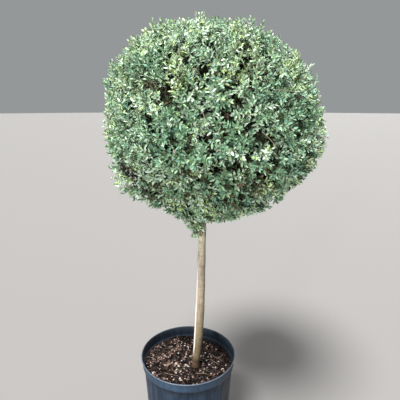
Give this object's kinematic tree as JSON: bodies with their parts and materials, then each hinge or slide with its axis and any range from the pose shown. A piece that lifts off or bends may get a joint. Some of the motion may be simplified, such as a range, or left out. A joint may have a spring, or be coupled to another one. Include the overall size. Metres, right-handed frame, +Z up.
{
  "type": "standard lollipop topiary in a nursery pot",
  "caption": "Small-leaved evergreen trained as a standard: one clear, slightly leaning stem under a dense clipped round crown, in a fluted round nursery pot of bark mix.",
  "frame": {"origin": "centre of the pot's flat underside, on the ground that it stands on", "axes": "+Z up along the plant; the front view looks along +Y with +X to the right, the side that the stem leans to"},
  "size_m": [0.8287, 0.8889, 1.8],
  "materials": {
    "pot_plastic": "moulded blue-black polypropylene, satin, a little dusty",
    "bark_mix": "damp potting mix of dark compost with pale bark and pumice chips, matt",
    "stem_bark": "pale tan bark with fine streaks along it, olive brown near the ground",
    "bough_bark": "thin grey-brown bark",
    "leaf": "small leathery grey-green leaves, paler under, soft sheen"
  },
  "bodies": {
    "root": {"pot": "pot_plastic", "potting_mix": "bark_mix", "stem": "stem_bark", "bough_right": "bough_bark", "bough_back_right": "bough_bark", "bough_back_left": "bough_bark", "bough_left": "bough_bark", "bough_front_left": "bough_bark", "bough_front_right": "bough_bark", "foliage_top": "leaf", "foliage_right": "leaf", "foliage_back_right": "leaf", "foliage_back_left": "leaf", "foliage_left": "leaf", "foliage_front_left": "leaf", "foliage_front_right": "leaf"}
  },
  "joints": []
}
